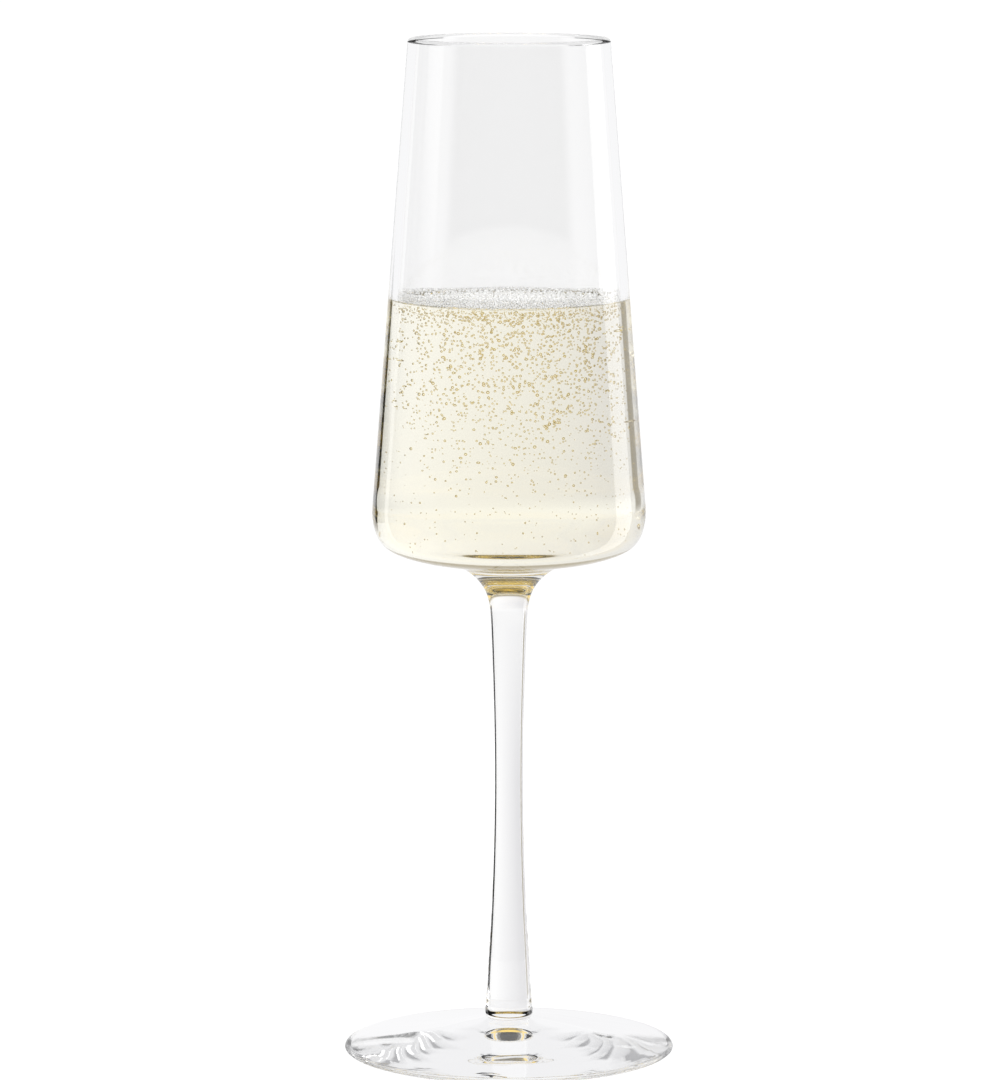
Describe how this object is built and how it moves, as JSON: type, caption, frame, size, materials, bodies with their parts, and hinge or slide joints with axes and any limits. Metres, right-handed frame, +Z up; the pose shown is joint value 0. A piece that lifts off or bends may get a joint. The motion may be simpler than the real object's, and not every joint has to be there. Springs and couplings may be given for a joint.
{
  "type": "champagne flute",
  "caption": "Clear fused-glass champagne flute: tall tapered bowl with a flat-shouldered base, slim drawn stem and low domed foot.",
  "frame": {"origin": "centre of the plane that the foot rests on", "axes": "+Z up along the axis of the glass; X and Y are interchangeable because every piece is turned about Z"},
  "size_m": [0.0764, 0.0764, 0.235],
  "materials": {
    "clear_glass": "colourless fire-polished crystal glass, smooth inside and out, refractive index about 1.52",
    "champagne": "pale straw-coloured sparkling wine with fine bubbles, used only by the visual model's contents"
  },
  "bodies": {
    "root": {"bowl": "clear_glass", "stem": "clear_glass", "foot": "clear_glass"}
  },
  "joints": []
}
